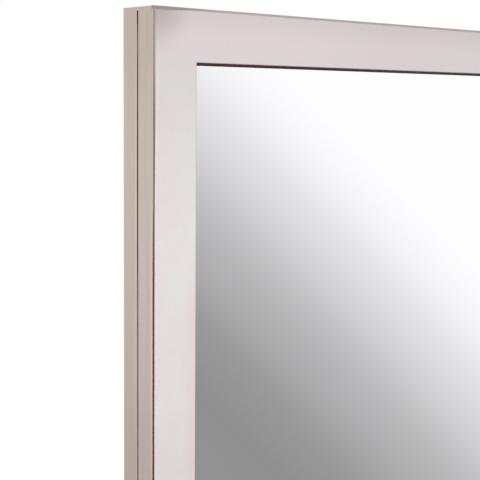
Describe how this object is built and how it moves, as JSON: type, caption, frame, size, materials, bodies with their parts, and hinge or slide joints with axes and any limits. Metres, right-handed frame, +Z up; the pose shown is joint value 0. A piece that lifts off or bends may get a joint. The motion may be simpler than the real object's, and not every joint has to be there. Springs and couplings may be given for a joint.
{
  "type": "window mirror",
  "caption": "Rectangular wall mirror with a deep silver-leafed wooden frame, crossed glazing bars over separate panes, and strap hangers with swinging rings behind.",
  "frame": {"origin": "the middle of the mirror's outline on the wall plane, where the four bumpers touch the wall", "axes": "+Z up, +Y towards the wall, -Y out of the mirror into the room, +X to the right seen from the room"},
  "size_m": [0.94, 0.045, 1.25],
  "materials": {
    "silver_leaf": "satin",
    "silvered_glass": "polished",
    "hardboard": "matte",
    "bare_pine": "matte",
    "zinc_steel": "satin",
    "bumper_rubber": "matte"
  },
  "bodies": {
    "frame": {"backing_board": "hardboard", "bead_bottom": "bare_pine", "bead_left": "bare_pine", "bead_pins": "zinc_steel", "bead_right": "bare_pine", "bead_top": "bare_pine", "brace_screws": "zinc_steel", "bumper_screws": "zinc_steel", "corner_brace_bottom_left": "zinc_steel", "corner_brace_bottom_right": "zinc_steel", "corner_brace_top_left": "zinc_steel", "corner_brace_top_right": "zinc_steel", "corner_keys": "bare_pine", "cross_bar": "silver_leaf", "front_bottom_rail": "silver_leaf", "front_left_stile": "silver_leaf", "front_right_stile": "silver_leaf", "front_top_rail": "silver_leaf", "hanger_screws": "zinc_steel", "hanger_strap_left": "zinc_steel", "hanger_strap_right": "zinc_steel", "layer_screws": "zinc_steel", "mirror_pane_bottom_left": "silvered_glass", "mirror_pane_bottom_right": "silvered_glass", "mirror_pane_top_left": "silvered_glass", "mirror_pane_top_right": "silvered_glass", "pane_spacer_left": "bare_pine", "pane_spacer_long": "bare_pine", "pane_spacer_right": "bare_pine", "rear_bottom_rail": "silver_leaf", "rear_left_stile": "silver_leaf", "rear_right_stile": "silver_leaf", "rear_top_rail": "silver_leaf", "vertical_bar": "silver_leaf", "wall_bumpers": "bumper_rubber"},
    "ring_left": {"hanger_ring_left": "zinc_steel"},
    "ring_right": {"hanger_ring_right": "zinc_steel"}
  },
  "joints": [
    {"name": "ring_left_swing", "type": "hinge", "parent": "frame", "child": "ring_left", "pos_m": [-0.453, -0.004, 0.36], "axis": [1, 0, 0], "range_deg": [0, 180]},
    {"name": "ring_right_swing", "type": "hinge", "parent": "frame", "child": "ring_right", "pos_m": [0.453, -0.004, 0.36], "axis": [1, 0, 0], "range_deg": [0, 180]}
  ]
}
